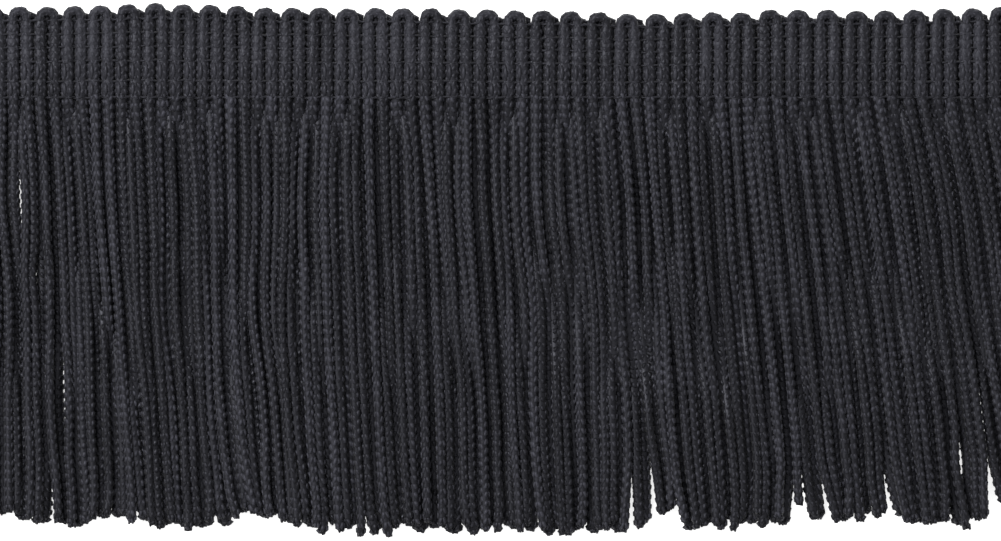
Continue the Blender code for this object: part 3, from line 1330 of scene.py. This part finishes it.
@dataclass
class Studio:
    """The plain pale floor, soft lights and the camera above the trim."""

    photo_scale: float = 0.1474
    middle_loop_px: float = 486.9
    heading_middle_px: float = 53.0
    camera_height: float = 1000.0
    sensor: float = 36.0
    floor_half: float = 1500.0
    floor_gap: float = 0.2
    floor_glow: float = 0.75
    room_glow: float = 0.6
    key_place: Triple = (-520.0, 280.0, 680.0)
    key_target: Triple = (0.0, -32.0, 0.0)
    key_size: float = 420.0
    key_watts: float = 9.5

    def build(self) -> None:
        """Make the floor, lights, world and camera."""
        self.floor()
        self.lights()
        self.camera()

    def floor(self) -> None:
        """A pale floor just under the trim."""
        mesh = bpy.data.meshes.new("floor")
        half = self.floor_half * MM
        mesh.from_pydata([(x * half, y * half, -self.floor_gap * MM)
                          for x, y in ((-1, -1), (1, -1), (1, 1), (-1, 1))], [], [(0, 1, 2, 3)])
        mesh.materials.append(PaintTree("pale_floor").finish(
            Base_Color=(0.9, 0.9, 0.9, 1.0), Roughness=0.9, Specular_IOR_Level=0.1,
            Emission_Color=(1.0, 1.0, 1.0, 1.0), Emission_Strength=self.floor_glow))
        add_object("floor", mesh)

    def lights(self) -> None:
        """A soft key from the upper left and a pale room."""
        world = bpy.data.worlds.new("studio")
        world.use_nodes = True
        room = world.node_tree.nodes["Background"].inputs
        room["Color"].default_value = (1.0, 1.0, 1.0, 1.0)
        room["Strength"].default_value = self.room_glow
        bpy.context.scene.world = world
        light = bpy.data.lights.new("key", "AREA")
        light.size = self.key_size * MM
        light.energy = self.key_watts
        lamp = add_object("key", light)
        lamp.location = Vector(self.key_place) * MM
        away = Vector(self.key_target) * MM - lamp.location
        lamp.rotation_euler = away.to_track_quat("-Z", "Y").to_euler()

    def camera(self) -> None:
        """A long lens straight above, framed as the photograph is."""
        lens = bpy.data.cameras.new("camera")
        lens.sensor_width = self.sensor
        face = LAYER_BOXES["fringe_front"][1][2] / MM
        width = PHOTO_WIDTH_PX * self.photo_scale
        lens.lens = self.sensor * (self.camera_height - face) / width
        camera = add_object("camera", lens)
        camera.location = Vector((
            (PHOTO_WIDTH_PX / 2 - self.middle_loop_px) * self.photo_scale,
            (self.heading_middle_px - PHOTO_HEIGHT_PX / 2) * self.photo_scale,
            self.camera_height)) * MM
        bpy.context.scene.camera = camera
        bpy.context.scene.view_settings.view_transform = "Standard"


@dataclass
class FringeTrim:
    """The whole trim: two heading cords, their binding and two rows of fringe."""

    sizes: TrimSizes = field(default_factory=TrimSizes)
    binding_pitch: float = 1.5
    binding_outer: float = 0.24
    turn_pitch: float = 1.1
    bundles: int = 3

    def declare(self, piece: Piece, node: str) -> None:
        """Tell the frame which body and solid a piece goes with, and report it.

        Args:
            piece: The piece.
            node: Solid that it takes the place of.
        """
        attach(piece, BODY)
        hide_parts(node)
        piece.data.calc_loop_triangles()
        log.info("%s: %d triangles", piece.name, len(piece.data.loop_triangles))

    def build(self) -> None:
        """Knit and declare every piece."""
        sizes, outer = self.sizes, self.sizes.cord / 2
        knitting = KnittingTree()
        heading_finish = RayonFinish("heading_rayon", (0.008, 0.008, 0.010), (0.033, 0.033, 0.0415),
                                     relief_and_painted_crest_shade=0.22, flecks=0.9).build()
        fringe_finish = RayonFinish("fringe_rayon", (0.005, 0.005, 0.0065), (0.057, 0.057, 0.073),
                                    relief_and_painted_crest_shade=0.45, flecks=0.9, paleness=0.13).build()
        turns = {Row.FRONT: StitchShape(outer, self.turn_pitch, wales=4, sides=4, core_steps=2, relief_and_painted_crest_shade=0.45),
                 Row.BACK: StitchShape(outer, sizes.stitch, wales=3, sides=3, core_steps=2)}
        chains = {Row.FRONT: StitchShape(outer, sizes.stitch, wales=3, sides=4, relief_and_painted_crest_shade=0.72),
                  Row.BACK: StitchShape(outer, sizes.stitch, wales=3, sides=3, relief_and_painted_crest_shade=0.72)}
        binding_stitch = StitchShape(self.binding_outer, self.binding_pitch, wales=2, sides=3, core_sides=3)
        lies = FringeLay(sizes, Drift()).lies()
        for row in Row:
            piece = knitting.knit(f"heading_{row.value}_cord", HeadingCord(sizes, row).paths(),
                                  turns[row], heading_finish)
            self.declare(piece, f"heading_{row.value}_loops")
            strands = FringeRow(sizes, row).paths(lies[row])
            per_bundle = math.ceil(len(strands) / self.bundles)
            for bundle in range(self.bundles):
                part = strands[bundle * per_bundle:(bundle + 1) * per_bundle]
                piece = knitting.knit(f"fringe_{row.value}_strands_{bundle + 1}", part,
                                      chains[row], fringe_finish)
                self.declare(piece, f"fringe_{row.value}")
            ends = CutEnds().gather(strands, outer, SEEDS[row].ends)
            ends = ends.build(f"fringe_{row.value}_cut_ends", fringe_finish)
            self.declare(ends, f"fringe_{row.value}")
        rows = [BindingRow(sizes, depth).path() for depth in sizes.binding_rows]
        binding = knitting.knit("binding_chains", rows, binding_stitch, heading_finish)
        self.declare(binding, "heading_front_loops")
        laid = LaidStitches(sizes).gather().build("laid_stitches", heading_finish)
        self.declare(laid, "heading_front_loops")


def main() -> None:
    """Build the trim and its studio."""
    logging.basicConfig(level=logging.INFO, format="%(name)s: %(message)s")
    FringeTrim().build()
    Studio().build()


if __name__ == "__main__":
    main()
